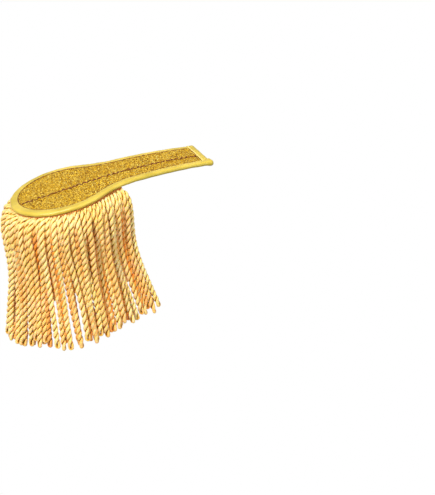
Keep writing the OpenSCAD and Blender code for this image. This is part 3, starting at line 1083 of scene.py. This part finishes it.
# Place in the zigzag beyond which it lies up on the lap, the thread's height there and beside it, and
# how that strays
SEAM_ON_LAP = 0.2
SEAM_OVER = 0.18
SEAM_BESIDE = 0.05
SEAM_LIFT = 0.05
SEAM_LIFTS = (52, 1, 4)
# The thread's radius and how it changes
SEAM_R = 0.46
SEAM_R_CHANGE = 0.24
SEAM_R_CHANGES = (53, 0.5, 2)

# Thread along the bindings' inner edge, dark also as painted shadow of the gap there: spacing of its points,
# and height over the cloth
EDGE_LINE_STEP = 0.5
EDGE_LINE_OVER = 0.02
# Along the side binding: distance from the end binding, place off the lip, how far it strays, radius
# and how that changes
EDGE_LINE_FROM_END = 1.5
EDGE_LINE_OFF = 0.25
EDGE_LINE_STRAY = 0.12
EDGE_LINE_STRAYS = (61, 0.8, 2.5)
EDGE_LINE_R = 0.36
EDGE_LINE_R_CHANGE = 0.1
EDGE_LINE_R_CHANGES = (62, 0.4, 1.5)
# Along the end binding: distance from the side binding, place off the lip, and radius
END_LINE_FROM_SIDE = 0.6
END_LINE_OFF = 0.1
END_LINE_STRAYS = (63, 0.8, 2.5)
END_LINE_R = 0.2

# Stitches in the binding: spacing, distances from its rear and front ends, half length, random part
# of their place, distance from the lip, and depth in the cloth above
STITCH_PITCH = 2.6
STITCH_FROM_REAR = 9.0
STITCH_FROM_FRONT = 3.0
STITCH_HALF = 0.75
STITCH_SPREAD = 0.08
STITCH_FROM_LIP = 1.0
STITCH_SUNK = 0.05
# Height and radius of the thread along a stitch, and random seeds of the two rows
STITCH_LIFT = np.array([-0.2, -0.02, 0.08, 0.12, 0.08, -0.02, -0.2])
STITCH_R = np.array([0.06, 0.14, 0.17, 0.17, 0.17, 0.14, 0.06])
STITCH_SEEDS = {"above": 71, "below": 72}


def sew(name, threads, material, slot):
    """Joins threads into one piece of the body."""
    verts, quads, _ = join(threads)
    piece(new_mesh(name, verts, quads), material, slot)


def build_seam_thread_and_shadow():
    """Dark zigzag thread along the edge of the lap, made thick and dark as painted shadow under that edge
    too.
    """
    x = np.arange(tip_x + SEAM_FROM_TIP, neck_x - end_bind_w - SEAM_FROM_END, SEAM_STEP)
    zigzag = np.abs(((x / SEAM_HALF_STITCH) % 2) - 1) * 2 - 1
    y = seam_y(x) - SEAM_BEFORE + SEAM_ZIGZAG * zigzag + SEAM_STRAY * wobble(x, *SEAM_STRAYS)
    n = np.where(zigzag > SEAM_ON_LAP, rear_n + SEAM_OVER, front_n + SEAM_BESIDE)
    n = n + SEAM_LIFT * wobble(x, *SEAM_LIFTS)
    radius = SEAM_R + SEAM_R_CHANGE * wobble(x, *SEAM_R_CHANGES)
    sew("seam_thread_and_shadow", [thread(on_board(x, y, n), radius)], MAT_THREAD_AND_SHADOW, "metallic_cloth")


def on_facing(x, y):
    """Points just over the facing at places in plan."""
    return on_board(x, y, np.where(y > seam_y(x), rear_n, front_n) + EDGE_LINE_OVER)


def build_edge_line():
    """Dark thread where the binding is sewn down on the facing, all round its inner edge, also as painted
    shadow of the gap between them.
    """
    reach = side_l - end_bind_w - EDGE_LINE_FROM_END
    d = np.arange(-reach, reach, EDGE_LINE_STEP)
    p, out = edge_at(d)
    p = p - out * (bind_w + EDGE_LINE_OFF + EDGE_LINE_STRAY * wobble(d, *EDGE_LINE_STRAYS))[:, None]
    side_path = on_facing(*p.T)
    side_radius = EDGE_LINE_R + EDGE_LINE_R_CHANGE * wobble(d, *EDGE_LINE_R_CHANGES)
    reach = strap_w / 2 - bind_w - END_LINE_FROM_SIDE
    y = np.arange(-reach, reach, EDGE_LINE_STEP)
    x = neck_x - end_bind_w - END_LINE_OFF + END_LINE_OFF * wobble(y, *END_LINE_STRAYS)
    threads = [thread(side_path, side_radius), thread(on_facing(x, y), END_LINE_R)]
    sew("binding_thread_and_shadow", threads, MAT_THREAD_AND_SHADOW, "satin")


def build_stitches():
    """Small stitches along the inner edges of the binding, above and below."""
    stitches = []
    heights = {"above": bind_top_n - STITCH_SUNK + STITCH_LIFT, "below": bind_low_n - STITCH_LIFT}
    for side, n in heights.items():
        draw = np.random.default_rng(STITCH_SEEDS[side])
        for d in np.arange(-side_l + STITCH_FROM_REAR, side_l - STITCH_FROM_FRONT, STITCH_PITCH):
            along = np.linspace(-STITCH_HALF, STITCH_HALF, len(n))
            p, out = edge_at(d + along + draw.normal(0, STITCH_SPREAD))
            p = p - out * (bind_w - STITCH_FROM_LIP)
            stitches.append(thread(on_board(*p.T, n), STITCH_R))
    sew("binding_stitches", stitches, MAT_STITCH, "satin")


build_seam_thread_and_shadow()
build_edge_line()
build_stitches()

# Floor and light: half the floor's width and its height
FLOOR_HALF = 8000.0
FLOOR_Z = -900.0
FLOOR_GREY = 0.4
# Heights in the surroundings between which their light changes, and its strength below and above
WORLD_RANGE = {"From Min": -0.4, "From Max": 0.5, "To Min": 0.12, "To Max": 0.50}
# Name, direction, strength and spread in degrees of each sun
SUNS = (("key", (-0.6, -0.5, 0.85), 3.9, 8), ("fill", (0.6, -0.9, 0.5), 1.1, 30))


def white_to_camera(tree, shader, white, output):
    """Shows the camera a plain white, and everything else the shader's own light."""
    path = tree.nodes.new("ShaderNodeLightPath")
    mix = tree.nodes.new("ShaderNodeMixShader")
    tree.links.new(path.outputs["Is Camera Ray"], mix.inputs[0])
    tree.links.new(shader.outputs[0], mix.inputs[1])
    tree.links.new(white.outputs[0], mix.inputs[2])
    tree.links.new(mix.outputs[0], tree.nodes[output].inputs[0])


def build_floor():
    """Wide floor far below, which throws a little light back and shows as plain white."""
    corners = [(-1, -1), (1, -1), (1, 1), (-1, 1)]
    verts = [(x * FLOOR_HALF, y * FLOOR_HALF, FLOOR_Z) for x, y in corners]
    item = new_mesh("floor", verts, [(0, 1, 2, 3)])
    m = Nodes("pale floor")
    m.set(Base_Color=grey(FLOOR_GREY), Roughness=0.9)
    white_to_camera(m.tree, m.bsdf, m.add("ShaderNodeEmission"), "Material Output")
    item.data.materials.append(m.mat)


def build_sun(name, source, strength, spread):
    data = bpy.data.lights.new(name, "SUN")
    data.energy = strength
    data.angle = math.radians(spread)
    new_object(name, data).rotation_euler = Vector(source).to_track_quat("Z", "Y").to_euler()


def build_surroundings():
    """Soft light from above and little from below, behind a white backdrop."""
    world = bpy.data.worlds.new("studio")
    bpy.context.scene.world = world
    world.use_nodes = True
    t = world.node_tree
    light = t.nodes["Background"]
    where = t.nodes.new("ShaderNodeTexCoord")
    split = t.nodes.new("ShaderNodeSeparateXYZ")
    height = t.nodes.new("ShaderNodeMapRange")
    for key, value in WORLD_RANGE.items():
        height.inputs[key].default_value = value
    t.links.new(where.outputs["Generated"], split.inputs[0])
    t.links.new(split.outputs[2], height.inputs["Value"])
    t.links.new(height.outputs[0], light.inputs[0])
    white = t.nodes.new("ShaderNodeBackground")
    white.inputs[0].default_value = grey(1.0)
    white_to_camera(t, light, white, "World Output")


build_floor()
build_surroundings()
for values in SUNS:
    build_sun(*values)
bpy.context.scene.view_settings.view_transform = "Standard"
bpy.context.scene.view_settings.look = "None"
